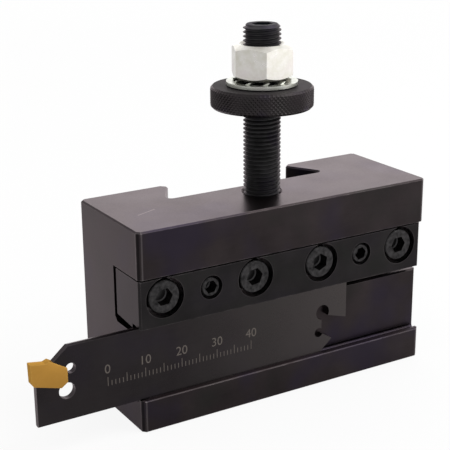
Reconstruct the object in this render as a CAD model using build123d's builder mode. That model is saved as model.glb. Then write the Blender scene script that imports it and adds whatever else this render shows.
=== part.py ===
from build123d import *
from math import cos, radians, sin, tan
import os

# Quick change tool holder for a lathe tool post. It carries a self grip
# parting blade under a clamp bar and slides on the post by a dovetail.
# Millimetres. +Z is up, +X runs along the block and +Y goes from the blade
# side to the dovetail side. The origin is the centre of the block's base.

os.makedirs("parts", exist_ok=True)

# Block
block_length = 86.0
block_width = 32.0
block_height = 51.4
corner_chamfer = 0.9
rim_chamfer = 0.4
base_chamfer = 0.2

# Dovetail slot on the back, widths across the slot
slot_depth = 11.5
slot_tip_width = 37.0
slot_tip_setback = 1.55
slot_mouth_width = 40.0
dovetail_lean = 30.0
slot_root_radius = 1.2
slot_tip_radius = 0.7

# Parting blade, double ended, gripped on its shallow roof shaped edges
blade_length = 87.7
blade_height = 19.0
blade_thickness = 1.6
blade_edge_angle = 15.0
blade_overhang = 26.35
blade_recess = 1.1
blade_base_height = 8.3

# Insert pocket at each end of the blade, measured from the blade's end and
# from its long centre line
pocket_seat_rise = 1.0
pocket_seat_angle = 16.0
pocket_depth_in_blade = 7.85
jaw_nose_back = 4.5
jaw_nose_rise = 6.12
jaw_grip_angle = 31.5
jaw_bevel_angle = 40.5
slit_hole_radius = 1.28
slit_hole_back = 8.7
slit_hole_rise = 3.68
relief_hole_radius = 2.05
relief_hole_back = 7.55
relief_hole_drop = 1.8

# Cutting insert
insert_width = 2.2
insert_tip_reach = 1.17
insert_tip_rise = 6.8
insert_heel_lift = 0.75
insert_relief_angle = 1.0
insert_corner = 1.7
insert_heel_reach = 0.54
insert_crest_run = 0.95
insert_tail_run = 0.15
insert_tail_drop = 0.25
breaker_dip = 0.56
breaker_run = 1.1

# Seat for the blade in the block
seat_clearance = 0.03
seat_relief_radius = 0.7
ledge_crest_depth = 1.0
ledge_front_drop = 0.26
ledge_chamfer = 0.2
wall_top_chamfer = 0.4
wall_corner_chamfer = 0.4

# Pocket for the clamp bar
clamp_pocket_depth = 13.6
clamp_pocket_floor = 25.1
clamp_pocket_roof = 39.5
clamp_pocket_corner = 1.2

# Clamp bar
clamp_end_gap = 0.55
clamp_shift = -0.5
clamp_recess = 0.2
clamp_back_gap = 1.3
clamp_roof_gap = 0.35
clamp_heel_gap = 0.25
clamp_heel_front_rise = 1.45
clamp_heel_back_rise = 2.2
clamp_jaw_clearance = 0.05
clamp_corner_chamfer = 0.5
clamp_rim_chamfer = 0.2

# Screws of the clamp bar, 5 mm, all on one line
screw_height = 34.0
screw_diameter = 5.0
screw_pitch = 0.8
screw_turns_to_free = 1.5
outer_screw_spacing = 71.0
inner_screw_spacing = 19.9
screw_tip_to_slot = 0.85
screw_head_diameter = 8.5
screw_head_height = 5.0
screw_head_recess = 0.5
screw_head_chamfer = 0.25
screw_socket_flats = 4.0
screw_socket_depth = 2.6
counterbore_diameter = 10.2
shank_clearance = 0.25
thread_clearance = 0.05
head_seat_clearance = 0.02
tapped_hole_past_wall = 3.0
tip_chamfer = 0.3
socket_dish_run = 0.3
socket_dish_angle = 30.0
screw_socket_turns = (4.0, 8.0, 25.0, 3.0)

# Jack screws in the clamp bar that push it off its back wall
jack_spacing = 45.5
jack_diameter = 6.0
jack_recess = 0.3
jack_front_chamfer = 0.75
jack_socket_flats = 3.0
jack_socket_depth = 3.0
jack_tip_gap = 0.05
jack_cup_radius = 1.5
jack_cup_depth = 0.7
jack_socket_turns = (4.0, 10.0)

# Height stud, 3/8 inch, in a blind tapped hole in the block's top
stud_diameter = 9.525
stud_setback_from_slot = 6.7
stud_hole_depth = 10.9
stud_hole_end_gap = 0.5
stud_hole_chamfer = 0.6
stud_top_height = 94.3
stud_end_chamfer = 0.9
stud_socket_flats = 4.7625
stud_socket_depth = 5.0
stud_socket_turn = 20.0
stud_fit_clearance = 0.02

# Knurled height nut
height_nut_drop = 20.8
height_nut_diameter = 26.1
height_nut_height = 5.5
height_nut_rim_chamfer = 0.6
height_nut_bore_chamfer = 0.4
nut_thread_clearance = 0.05

# Lock washer with twisted inner teeth
washer_diameter = 18.0
washer_ring_inner_diameter = 14.2
washer_tooth_inner_diameter = 10.2
washer_thickness = 0.83
washer_tooth_count = 10
washer_tooth_width = 2.5
washer_tooth_twist = 45.0
washer_tooth_lift = 0.45
washer_tooth_root = 0.25
washer_turn = 27.1
washer_face_gap = 0.02

# Lock nut
lock_nut_flats = 14.2875
lock_nut_height = 8.33
lock_nut_face_diameter = 13.6
lock_nut_chamfer_angle = 30.0
lock_nut_bore_chamfer = 0.4
lock_nut_turn = 5.2

# Places that follow from the sizes above
front_y = -block_width / 2
slot_floor_y = block_width / 2 - slot_depth
stud_y = slot_floor_y - stud_setback_from_slot
blade_centre_x = -block_length / 2 - blade_overhang + blade_length / 2
blade_centre_z = blade_base_height + blade_height / 2
blade_mid_depth = blade_recess + blade_thickness / 2
blade_roof_rise = blade_thickness / 2 * tan(radians(blade_edge_angle))
wall_depth = blade_recess + blade_thickness + seat_clearance
clamp_travel = screw_pitch * screw_turns_to_free
tapped_hole_depth = block_width - slot_depth - clamp_pocket_depth + tapped_hole_past_wall
clamp_length = block_length - 2 * clamp_end_gap
clamp_top = clamp_pocket_roof - clamp_roof_gap
clamp_back_depth = clamp_pocket_depth - clamp_back_gap
head_front_depth = clamp_recess + screw_head_recess
screw_tip_depth = block_width - slot_depth - screw_tip_to_slot
screw_length = screw_tip_depth - head_front_depth - screw_head_height
counterbore_depth = screw_head_recess + screw_head_height + head_seat_clearance
clamp_screw_places = [
    clamp_shift - outer_screw_spacing / 2,
    clamp_shift - inner_screw_spacing / 2,
    clamp_shift + inner_screw_spacing / 2,
    clamp_shift + outer_screw_spacing / 2,
]
jack_screw_places = [clamp_shift - jack_spacing / 2, clamp_shift + jack_spacing / 2]
height_nut_base = stud_top_height - height_nut_drop
height_nut_top = height_nut_base + height_nut_height
washer_height = washer_tooth_width * sin(radians(washer_tooth_twist))
washer_height += washer_thickness * cos(radians(washer_tooth_twist))
tooth_mid_height = height_nut_top + washer_face_gap + washer_height / 2
ring_mid_height = tooth_mid_height - washer_tooth_lift
lock_nut_base = tooth_mid_height + washer_height / 2 + washer_face_gap


from_base = (Align.CENTER, Align.CENTER, Align.MIN)


def front(depth):
    """Row frame y of a depth behind the block's front face."""
    return front_y + depth


def seat_line(depth, height, gap):
    """Height of a seat that rises towards the front under the blade's edge."""
    return height - gap + (blade_mid_depth - depth) * tan(radians(blade_edge_angle))


def jaw_line(depth):
    """Height of the clamp bar's lip, which falls towards the front."""
    drop = (blade_mid_depth - depth) * tan(radians(blade_edge_angle))
    return blade_base_height + blade_height + clamp_jaw_clearance - drop


def screw_plane(x, depth):
    """Plane across a clamp bar screw, facing out of the front."""
    return Plane(origin=(x, front(depth), screw_height), x_dir=(1, 0, 0), z_dir=(0, -1, 0))


def cut_hex_socket(mouth, flats, depth, turn):
    """Cut a hexagon socket with a dished bottom into the part in hand."""
    with BuildSketch(mouth) as hexagon:
        RegularPolygon(flats / 2, 6, major_radius=False, rotation=turn)
    extrude(hexagon.sketch, amount=-depth, mode=Mode.SUBTRACT)
    dish_depth = socket_dish_run * tan(radians(socket_dish_angle))
    with Locations(mouth.offset(-depth - dish_depth)):
        Cone(flats / 2 - socket_dish_run, flats / 2, dish_depth, align=from_base, mode=Mode.SUBTRACT)


def spin_profile(plane, points):
    """Revolve a half profile about the local y axis of its plane."""
    with BuildSketch(plane) as profile:
        with BuildLine():
            Polyline(points, close=True)
        make_face()
    revolve(profile.sketch, axis=Axis(plane.origin, plane.y_dir))


def write(part, name):
    """Label a finished piece and write it to its own file."""
    part.label = name
    export_step(part, f"parts/{name}.step")


# Holder body: a block with a dovetail slot through the back, a pocket for the
# clamp bar and a seat for the blade along the front
slot_lean = (slot_depth - slot_tip_setback) * tan(radians(dovetail_lean))
slot_root_half = slot_tip_width / 2 + slot_lean
back_y = block_width / 2
slot_over = 2.0
mouth_slope = (slot_mouth_width - slot_tip_width) / 2 / slot_tip_setback
slot_outside_half = slot_mouth_width / 2 + slot_over * mouth_slope
slot_corners = [
    (slot_root_half, slot_floor_y),
    (slot_tip_width / 2, back_y - slot_tip_setback),
    (slot_outside_half, back_y + slot_over),
]
recess_over = 2.0
ledge_crest = seat_line(ledge_crest_depth, blade_base_height, seat_clearance)
ledge_front = ledge_crest - ledge_front_drop
recess_outline = [
    (front(-recess_over), clamp_pocket_roof),
    (front(clamp_pocket_depth), clamp_pocket_roof),
    (front(clamp_pocket_depth), clamp_pocket_floor + clamp_pocket_corner),
    (front(clamp_pocket_depth - clamp_pocket_corner), clamp_pocket_floor),
    (front(wall_depth + wall_top_chamfer), clamp_pocket_floor),
    (front(wall_depth), clamp_pocket_floor - wall_top_chamfer),
    (front(wall_depth), seat_line(wall_depth, blade_base_height, seat_clearance)),
    (front(ledge_crest_depth), ledge_crest),
    (front(ledge_chamfer), ledge_front),
    (front(-recess_over), ledge_front - ledge_chamfer - recess_over),
]
wall_corner = [
    (block_length / 2 - wall_corner_chamfer - recess_over, front(wall_depth) - recess_over),
    (block_length / 2 + recess_over, front(wall_depth) - recess_over),
    (block_length / 2 + recess_over, front(wall_depth) + wall_corner_chamfer + recess_over),
]
seat_relief_place = (front(wall_depth - seat_relief_radius / 2), blade_base_height)
stud_hole_radius = stud_diameter / 2 + stud_fit_clearance

with BuildPart() as holder_body:
    with BuildSketch():
        Rectangle(block_length, block_width)
        chamfer(vertices(), corner_chamfer)
        with BuildSketch(mode=Mode.SUBTRACT) as slot_profile:
            with BuildLine():
                mirrored = [(-x, y) for x, y in reversed(slot_corners)]
                Polyline(slot_corners + mirrored, close=True)
            make_face()
            roots = slot_profile.vertices().group_by(Axis.Y)[0]
            fillet(roots, slot_root_radius)
            tips = [v for v in slot_profile.vertices() if abs(v.Y - slot_corners[1][1]) < 0.01]
            fillet(tips, slot_tip_radius)
    extrude(amount=block_height)
    chamfer(faces().sort_by(Axis.Z)[-1].edges(), rim_chamfer)
    chamfer(faces().sort_by(Axis.Z)[0].edges(), base_chamfer)
    with BuildSketch(Plane.YZ):
        with BuildLine():
            Polyline(recess_outline, close=True)
        make_face()
        with Locations(seat_relief_place):
            Circle(seat_relief_radius)
    extrude(amount=block_length, both=True, mode=Mode.SUBTRACT)
    with BuildSketch(Plane.XY.offset(blade_base_height)):
        with BuildLine():
            Polyline(wall_corner, close=True)
        make_face()
        mirror(about=Plane.YZ)
    extrude(amount=clamp_pocket_floor - blade_base_height, mode=Mode.SUBTRACT)
    with BuildSketch(screw_plane(0, clamp_pocket_depth)):
        with Locations([(x, 0) for x in clamp_screw_places]):
            Circle(screw_diameter / 2 + thread_clearance)
    extrude(amount=-tapped_hole_depth, mode=Mode.SUBTRACT)
    with Locations((0, stud_y, block_height)):
        CounterSinkHole(
            radius=stud_hole_radius,
            counter_sink_radius=stud_hole_radius + stud_hole_chamfer,
            depth=stud_hole_depth,
            counter_sink_angle=90,
        )
write(holder_body.part, "holder_body")

# Clamp bar: its lip bears on the blade's top edge and its heel stands behind
heel_front_depth = wall_depth + clamp_travel + clamp_heel_gap
clamp_outline = [
    (front(clamp_recess), jaw_line(clamp_recess)),
    (front(wall_depth), jaw_line(wall_depth)),
    (front(heel_front_depth), jaw_line(wall_depth)),
    (front(heel_front_depth), clamp_pocket_floor + clamp_heel_front_rise),
    (front(clamp_back_depth), clamp_pocket_floor + clamp_heel_back_rise),
    (front(clamp_back_depth), clamp_top),
    (front(clamp_recess), clamp_top),
]

with BuildPart() as clamp_bar:
    with BuildSketch(Plane.YZ.offset(clamp_shift)):
        with BuildLine():
            Polyline(clamp_outline, close=True)
        make_face()
    extrude(amount=clamp_length / 2, both=True)
    upright = edges().filter_by(Axis.Z)
    chamfer([e for e in upright if e.center().Y < front(clamp_recess) + 0.01], clamp_corner_chamfer)
    long_edges = edges().filter_by(Axis.X)
    chamfer(long_edges.group_by(Axis.Z)[-1], clamp_rim_chamfer)
    with BuildSketch(screw_plane(0, clamp_recess)):
        with Locations([(x, 0) for x in clamp_screw_places]):
            Circle(counterbore_diameter / 2)
    extrude(amount=-counterbore_depth, mode=Mode.SUBTRACT)
    with BuildSketch(screw_plane(0, clamp_recess)):
        with Locations([(x, 0) for x in clamp_screw_places]):
            Circle(screw_diameter / 2 + shank_clearance)
        with Locations([(x, 0) for x in jack_screw_places]):
            Circle(jack_diameter / 2 + thread_clearance)
    extrude(amount=-block_width, mode=Mode.SUBTRACT)
write(clamp_bar.part, "clamp_bar")


def clamp_screw(x, turn):
    """Socket head cap screw through the clamp bar into the block."""
    head = screw_head_diameter / 2
    shank = screw_diameter / 2
    under_head = screw_head_height
    tip = screw_head_height + screw_length
    profile = [
        (0, 0),
        (head - screw_head_chamfer, 0),
        (head, screw_head_chamfer),
        (head, under_head),
        (shank, under_head),
        (shank, tip - tip_chamfer),
        (shank - tip_chamfer, tip),
        (0, tip),
    ]
    with BuildPart() as screw:
        spin_profile(Plane(origin=(x, front(head_front_depth), screw_height)), profile)
        mouth = screw_plane(x, head_front_depth)
        cut_hex_socket(mouth, screw_socket_flats, screw_socket_depth, turn)
    return screw.part


for number, (x, turn) in enumerate(zip(clamp_screw_places, screw_socket_turns), start=1):
    write(clamp_screw(x, turn), f"clamp_screw_{number}")


def jack_screw(x, turn):
    """Socket set screw with a cup point, from the bar's front to its back wall."""
    shank = jack_diameter / 2
    front_depth = clamp_recess + jack_recess
    length = clamp_pocket_depth - jack_tip_gap - front_depth
    profile = [
        (0, 0),
        (shank - jack_front_chamfer, 0),
        (shank, jack_front_chamfer),
        (shank, length - tip_chamfer),
        (shank - tip_chamfer, length),
        (jack_cup_radius, length),
        (0, length - jack_cup_depth),
    ]
    with BuildPart() as screw:
        spin_profile(Plane(origin=(x, front(front_depth), screw_height)), profile)
        cut_hex_socket(screw_plane(x, front_depth), jack_socket_flats, jack_socket_depth, turn)
    return screw.part


for number, (x, turn) in enumerate(zip(jack_screw_places, jack_socket_turns), start=1):
    write(jack_screw(x, turn), f"jack_screw_{number}")

# Height stud: full length thread, a hexagon socket in its top end
stud_base = block_height - stud_hole_depth + stud_hole_end_gap
stud_length = stud_top_height - stud_base
stud_radius = stud_diameter / 2

with BuildPart() as height_stud:
    spin_profile(
        Plane(origin=(0, stud_y, stud_base), x_dir=(1, 0, 0), z_dir=(0, -1, 0)),
        [
            (0, 0),
            (stud_radius - stud_end_chamfer, 0),
            (stud_radius, stud_end_chamfer),
            (stud_radius, stud_length - stud_end_chamfer),
            (stud_radius - stud_end_chamfer, stud_length),
            (0, stud_length),
        ],
    )
    stud_mouth = Plane(origin=(0, stud_y, stud_top_height))
    cut_hex_socket(stud_mouth, stud_socket_flats, stud_socket_depth, stud_socket_turn)
write(height_stud.part, "height_stud")

# Knurled nut: a thick disc, tapped for the stud
nut_bore = stud_radius + nut_thread_clearance
rim = height_nut_diameter / 2

with BuildPart() as knurled_nut:
    spin_profile(
        Plane(origin=(0, stud_y, height_nut_base), x_dir=(1, 0, 0), z_dir=(0, -1, 0)),
        [
            (nut_bore + height_nut_bore_chamfer, 0),
            (rim - height_nut_rim_chamfer, 0),
            (rim, height_nut_rim_chamfer),
            (rim, height_nut_height - height_nut_rim_chamfer),
            (rim - height_nut_rim_chamfer, height_nut_height),
            (nut_bore + height_nut_bore_chamfer, height_nut_height),
            (nut_bore, height_nut_height - height_nut_bore_chamfer),
            (nut_bore, height_nut_bore_chamfer),
        ],
    )
write(knurled_nut.part, "knurled_nut")

# Lock washer: a ring with teeth inside it, each twisted about its own radius
# and set higher than the ring
ring_outer = washer_diameter / 2
ring_inner = washer_ring_inner_diameter / 2
tooth_inner = washer_tooth_inner_diameter / 2
tooth_length = ring_inner + washer_tooth_root - tooth_inner
washer_plane = Plane(origin=(0, stud_y, ring_mid_height))

with BuildPart() as lock_washer:
    with BuildSketch(washer_plane):
        Circle(ring_outer)
        Circle(ring_inner, mode=Mode.SUBTRACT)
    extrude(amount=washer_thickness / 2, both=True)
    for tooth in range(washer_tooth_count):
        angle = washer_turn + tooth * 360 / washer_tooth_count
        spoke = Location((0, stud_y, tooth_mid_height), (0, 0, angle))
        along_spoke = Location((tooth_inner + tooth_length / 2, 0, 0), (washer_tooth_twist, 0, 0))
        with Locations(spoke * along_spoke):
            Box(tooth_length, washer_tooth_width, washer_thickness)
write(lock_washer.part, "lock_washer")

# Lock nut: a hexagon with its corners turned off at both faces
nut_corner = lock_nut_flats / 2 / cos(radians(30))
face_radius = lock_nut_face_diameter / 2
corner_drop = (nut_corner - face_radius) * tan(radians(lock_nut_chamfer_angle))

with BuildPart() as lock_nut:
    with BuildSketch(Plane(origin=(0, stud_y, lock_nut_base))):
        RegularPolygon(lock_nut_flats / 2, 6, major_radius=False, rotation=lock_nut_turn)
    extrude(amount=lock_nut_height)
    with BuildSketch(Plane(origin=(0, stud_y, lock_nut_base), x_dir=(1, 0, 0), z_dir=(0, -1, 0))):
        with BuildLine():
            Polyline(
                (nut_bore + lock_nut_bore_chamfer, 0),
                (face_radius, 0),
                (nut_corner, corner_drop),
                (nut_corner, lock_nut_height - corner_drop),
                (face_radius, lock_nut_height),
                (nut_bore + lock_nut_bore_chamfer, lock_nut_height),
                (nut_bore, lock_nut_height - lock_nut_bore_chamfer),
                (nut_bore, lock_nut_bore_chamfer),
                close=True,
            )
        make_face()
    revolve(axis=Axis((0, stud_y, 0), (0, 0, 1)), mode=Mode.INTERSECT)
write(lock_nut.part, "lock_nut")

# Parting blade. Points of an insert pocket are (distance along the blade from
# its centre, height above its centre line) at the left end. The right end is
# the same turned half way round.
blade_end = -blade_length / 2
stop = blade_end + pocket_depth_in_blade
jaw_nose = (blade_end + jaw_nose_back, jaw_nose_rise)
blade_half_height = blade_height / 2
bevel_run = (blade_half_height - jaw_nose_rise) / tan(radians(jaw_bevel_angle))
end_over = 3.0


def pocket_seat(along):
    """Height of the pocket's lower seat, which falls towards the stop."""
    return pocket_seat_rise - (along - blade_end) * tan(radians(pocket_seat_angle))


def pocket_jaw(along):
    """Height of the upper jaw's grip face, which falls towards the stop."""
    return jaw_nose_rise - (along - jaw_nose[0]) * tan(radians(jaw_grip_angle))


pocket_outline = [
    (blade_end - end_over, pocket_seat(blade_end - end_over)),
    (stop, pocket_seat(stop)),
    (stop, pocket_jaw(stop)),
    jaw_nose,
    (jaw_nose[0] + bevel_run, blade_half_height),
    (jaw_nose[0] + bevel_run, blade_half_height + end_over),
    (blade_end - end_over, blade_half_height + end_over),
]
blade_front = front(blade_recess)
blade_back = front(blade_recess + blade_thickness)
blade_top = blade_base_height + blade_height
blade_section = [
    (blade_front, blade_base_height + blade_roof_rise),
    (front(blade_mid_depth), blade_base_height),
    (blade_back, blade_base_height + blade_roof_rise),
    (blade_back, blade_top - blade_roof_rise),
    (front(blade_mid_depth), blade_top),
    (blade_front, blade_top - blade_roof_rise),
]

with BuildPart() as parting_blade:
    with BuildSketch(Plane.YZ.offset(blade_centre_x)):
        with BuildLine():
            Polyline(blade_section, close=True)
        make_face()
    extrude(amount=blade_length / 2, both=True)
    for way in (1, -1):
        end_plane = Plane(
            origin=(blade_centre_x, blade_front, blade_centre_z),
            x_dir=(way, 0, 0),
            z_dir=(0, -1, 0),
        )
        with BuildSketch(end_plane):
            with BuildLine():
                Polyline(pocket_outline, close=True)
            make_face()
            with Locations((blade_end + slit_hole_back, slit_hole_rise)):
                Circle(slit_hole_radius)
            with Locations((blade_end + relief_hole_back, -relief_hole_drop)):
                Circle(relief_hole_radius)
        extrude(amount=-block_width, mode=Mode.SUBTRACT)
write(parting_blade.part, "parting_blade")

# Cutting insert: it lies on the pocket's seat, under the jaw and against the
# stop, and stands out past the blade on each side
insert_end = blade_end - insert_tip_reach
tip_low = insert_end + (insert_tip_rise - insert_heel_lift) * tan(radians(insert_relief_angle))
heel_along = blade_end - insert_heel_reach
grip_start = jaw_nose[0] - insert_crest_run
grip_end = stop - insert_tail_run
insert_outline = [
    (insert_end, insert_tip_rise),
    (grip_start - breaker_run, insert_tip_rise - breaker_dip),
    (grip_start, pocket_jaw(grip_start) - seat_clearance),
    (grip_end, pocket_jaw(grip_end) - seat_clearance),
    (stop - seat_clearance, pocket_jaw(stop) - insert_tail_drop),
    (stop - seat_clearance, pocket_seat(stop) + insert_corner),
    (stop - insert_corner, pocket_seat(stop - insert_corner) + seat_clearance),
    (heel_along, pocket_seat(heel_along) + seat_clearance),
    (tip_low, pocket_seat(heel_along) + insert_heel_lift),
]
insert_plane = Plane(
    origin=(blade_centre_x, front(blade_mid_depth), blade_centre_z),
    x_dir=(1, 0, 0),
    z_dir=(0, -1, 0),
)

with BuildPart() as cutting_insert:
    with BuildSketch(insert_plane):
        with BuildLine():
            Polyline(insert_outline, close=True)
        make_face()
    extrude(amount=insert_width / 2, both=True)
write(cutting_insert.part, "cutting_insert")
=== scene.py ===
from math import cos, pi, radians, sin, tan

import bmesh
import bpy
from bpy.props import FloatProperty, FloatVectorProperty, IntProperty, PointerProperty
from mathutils import Matrix, Vector


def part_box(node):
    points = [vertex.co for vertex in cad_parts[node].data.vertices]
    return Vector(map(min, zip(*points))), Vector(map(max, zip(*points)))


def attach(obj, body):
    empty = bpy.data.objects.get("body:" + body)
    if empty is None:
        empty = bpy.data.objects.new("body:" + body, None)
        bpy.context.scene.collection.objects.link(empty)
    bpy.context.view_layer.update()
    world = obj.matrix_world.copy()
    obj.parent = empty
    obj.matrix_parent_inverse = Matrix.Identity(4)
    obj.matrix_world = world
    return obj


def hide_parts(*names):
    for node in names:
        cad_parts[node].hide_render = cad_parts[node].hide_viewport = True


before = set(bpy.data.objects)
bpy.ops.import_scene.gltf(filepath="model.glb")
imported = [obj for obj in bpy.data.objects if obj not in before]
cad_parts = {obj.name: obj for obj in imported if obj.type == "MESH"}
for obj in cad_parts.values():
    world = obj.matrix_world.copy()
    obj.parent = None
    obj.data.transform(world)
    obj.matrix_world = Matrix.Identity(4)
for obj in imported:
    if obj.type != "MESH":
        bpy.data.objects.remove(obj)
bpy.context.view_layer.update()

# Dresses the packed quick change tool holder: threads the stud, knurls the
# height nut, crowns the lock nut, presses the washer's teeth down, eases the
# insert's edges, etches a scale on the blade and gives each piece its finish.
# Metres, in the frame of the packed model.

bl_info = {
    "name": "Quick change tool holder",
    "version": (1, 0, 0),
    "blender": (4, 5, 0),
    "location": "View3D > Sidebar > Tool holder",
    "description": "Finishes for a lathe tool holder with a parting blade and a height stud",
    "category": "Object",
}

MM = 0.001
SAME_POINT = 0.002 * MM   # points nearer than this are joined
PIN_POINT = 0.0005 * MM   # radius of the ring that closes the middle of an end
STUD_LOW, STUD_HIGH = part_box("height_stud")
NUT_LOW, NUT_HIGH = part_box("knurled_nut")
LOCK_LOW, LOCK_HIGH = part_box("lock_nut")
BLADE_LOW, BLADE_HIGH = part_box("parting_blade")
BLOCK_LOW, BLOCK_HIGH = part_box("holder_body")
BAR_LOW, BAR_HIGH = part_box("clamp_bar")
SCREW_HEIGHT = sum(corner.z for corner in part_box("clamp_screw_1")) / 2
STUD_AXIS = (STUD_LOW + STUD_HIGH) / 2
STUD_RADIUS = (STUD_HIGH.x - STUD_LOW.x) / 2
NUT_RADIUS = (NUT_HIGH.x - NUT_LOW.x) / 2
CLAMP_SCREWS = [f"clamp_screw_{number}" for number in range(1, 5)]
JACK_SCREWS = [f"jack_screw_{number}" for number in range(1, 3)]

# Thread form, in pitches: half the flat of a crest or root, and a flank's width
HALF_FLAT = 1 / 16
FLANK = 3 / 8
STEPS_A_PITCH = 8

# Darker and lighter tone of the blackened pieces that differ from the block
BAR_TONES = (0.0115, 0.0108, 0.011), (0.024, 0.0218, 0.0226)
SCREW_TONES = (0.012, 0.0118, 0.012), (0.05, 0.048, 0.049)
STUD_TONES = (0.040, 0.0395, 0.0405), (0.070, 0.069, 0.071)
NUT_TONES = (0.019, 0.0165, 0.0175), (0.036, 0.032, 0.033)
BLADE_TONES = (0.017, 0.0145, 0.0155), (0.030, 0.026, 0.027)


# Node trees

class Wire:
    """A socket of a node tree. Arithmetic on it adds Math nodes to the tree."""

    def __init__(self, tree, socket=None):
        self.tree = tree
        self.socket = socket

    def add(self, kind, settings=None, inputs=None, output=0):
        """Add a node from its type, its settings, and the values or links of its sockets."""
        node = self.tree.nodes.new(kind)
        for name, value in (settings or {}).items():
            setattr(node, name, value)
        for key, value in (inputs or {}).items():
            if isinstance(value, Wire):
                self.tree.links.new(value.socket, node.inputs[key])
            else:
                node.inputs[key].default_value = value
        return Wire(self.tree, node.outputs[output]) if len(node.outputs) else None

    def math(self, operation, first, second=0.0, clamp=False):
        settings = {"operation": operation, "use_clamp": clamp}
        return self.add("ShaderNodeMath", settings, {0: first, 1: second})

    def __add__(self, other):
        return self.math("ADD", self, other)

    def __radd__(self, other):
        return self.math("ADD", other, self)

    def __sub__(self, other):
        return self.math("SUBTRACT", self, other)

    def __rsub__(self, other):
        return self.math("SUBTRACT", other, self)

    def __mul__(self, other):
        return self.math("MULTIPLY", self, other)

    def __rmul__(self, other):
        return self.math("MULTIPLY", other, self)

    def __truediv__(self, other):
        return self.math("DIVIDE", self, other)

    def __mod__(self, other):
        return self.math("FLOORED_MODULO", self, other)

    def __abs__(self):
        return self.math("ABSOLUTE", self)

    def least(self, other):
        return self.math("MINIMUM", self, other)

    def most(self, other):
        return self.math("MAXIMUM", self, other)

    def limited(self):
        return self.math("ADD", self, 0.0, clamp=True)

    def above(self, edge):
        return self.math("GREATER_THAN", self, edge)

    def below(self, edge):
        return self.math("LESS_THAN", self, edge)

    def axes(self):
        """The three numbers of a vector."""
        split = self.add("ShaderNodeSeparateXYZ", None, {0: self}).socket.node
        return [Wire(self.tree, output) for output in split.outputs]

    def mix(self, factor, first, second):
        """A colour between two colours."""
        return self.add("ShaderNodeMix", {"data_type": "RGBA"}, {0: factor, 6: first, 7: second}, 2)

    def noise(self, place, scale, detail=2.0, roughness=0.5):
        """Cloudy noise from 0 to 1 at a place."""
        values = {"Vector": place, "Scale": scale, "Detail": detail, "Roughness": roughness}
        return self.add("ShaderNodeTexNoise", None, values)

    def stretched(self, place, scale):
        """A place with each axis scaled by its own number."""
        return self.add("ShaderNodeMapping", None, {"Vector": place, "Scale": scale})

    def steep(self, low, high):
        """A value spread so that low becomes 0 and high becomes 1."""
        return self.math("MULTIPLY", self - low, 1 / (high - low), clamp=True)


def colour(values):
    """A colour property as a socket value."""
    return (*values, 1.0)


def tinted(values, tint):
    """A colour times a tint as a socket value."""
    return colour([part * share for part, share in zip(values, tint)])


def new_material(name):
    """A material with an empty tree, and the wire that builds it."""
    material = bpy.data.materials.new(name)
    material.use_nodes = True
    material.node_tree.nodes.clear()
    return material, Wire(material.node_tree)


def finish_material(wire, shader):
    wire.add("ShaderNodeOutputMaterial", None, {"Surface": shader})


def object_place(wire):
    return wire.add("ShaderNodeTexCoord", None, None, "Object")


def edge_wear(wire, reach, contrast=6.0):
    """1 on an outer or inner edge and 0 on flat ground."""
    rounded = wire.add("ShaderNodeBevel", {"samples": 6}, {"Radius": reach})
    normal = wire.add("ShaderNodeNewGeometry", None, None, "Normal")
    settings = {"operation": "DOT_PRODUCT"}
    facing = wire.add("ShaderNodeVectorMath", settings, {0: rounded, 1: normal}, "Value")
    return ((1 - facing) * contrast).limited()


def bump(wire, height, strength, depth):
    return wire.add("ShaderNodeBump", None, {"Height": height, "Strength": strength, "Distance": depth})


# Finishes

def paint(wire, values, share, tone):
    """Lay a colour over the base colour, where share is above 0."""
    values["Base Color"] = wire.mix(share, values["Base Color"], colour(tone))


def black_oxide(name, tones, grain, shine, worn, blotch, extra, edge=0.35 * MM, violet=0.6):
    """Blackened steel: dark base, cloudy oxide, grinding lines and lighter worn edges.

    tones are the darker and the lighter colour, grain is the scale of the grinding
    lines along each axis, and blotch is the scale of the clouds. shine is the
    roughness, worn says how light the edges are, and edge how wide. extra may change
    the values, and returns where the surface is dull, or None.
    """
    material, wire = new_material(name)
    dark, light = tones
    place = object_place(wire)
    finish = bpy.context.scene.holder_finishes
    clouds = wire.noise(place, blotch, 4.0, 0.55)
    casts = wire.noise(place, blotch * 0.6 + 13.0, 2.0, 0.5)
    lines = wire.noise(wire.stretched(place, grain), 1.0, 3.0, 0.6)
    speck = wire.noise(place, 2600.0, 2.0, 0.6)
    edges = edge_wear(wire, edge) * wire.noise(place, 400.0).steep(0.25, 0.7)
    tone = (clouds.steep(0.3, 0.7) * 0.6 + lines * 0.25 + speck * 0.15).limited()
    skin = wire.mix(tone, colour(dark), colour(light))
    skin = wire.mix(casts.steep(0.5, 0.66) * violet, skin, colour(finish.violet_cast))
    skin = wire.mix(casts.steep(0.45, 0.3) * 0.5, skin, colour(finish.green_cast))
    skin = wire.mix(edges * worn, skin, colour(finish.worn_edge))
    rough = shine + (clouds - 0.5) * 0.2 + (speck - 0.5) * 0.12 - edges * 0.06
    values = {
        "Base Color": skin,
        "Roughness": rough.limited(),
        "Metallic": 1.0,
        "Specular Tint": colour(finish.oxide_sheen),
        "Normal": bump(wire, lines * 0.6 + speck * 0.4, 0.3, 0.004 * MM),
    }
    dull = extra(wire, place, values)
    shader = wire.add("ShaderNodeBsdfPrincipled", None, values)
    if dull is not None:
        chalky = wire.add("ShaderNodeBsdfPrincipled", None, {
            "Base Color": values["Base Color"], "Roughness": 0.8, "Specular IOR Level": 0.1,
            "Normal": values["Normal"],
        })
        shader = wire.add("ShaderNodeMixShader", None, {0: dull, 1: shader, 2: chalky})
    finish_material(wire, shader)
    return material


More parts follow.
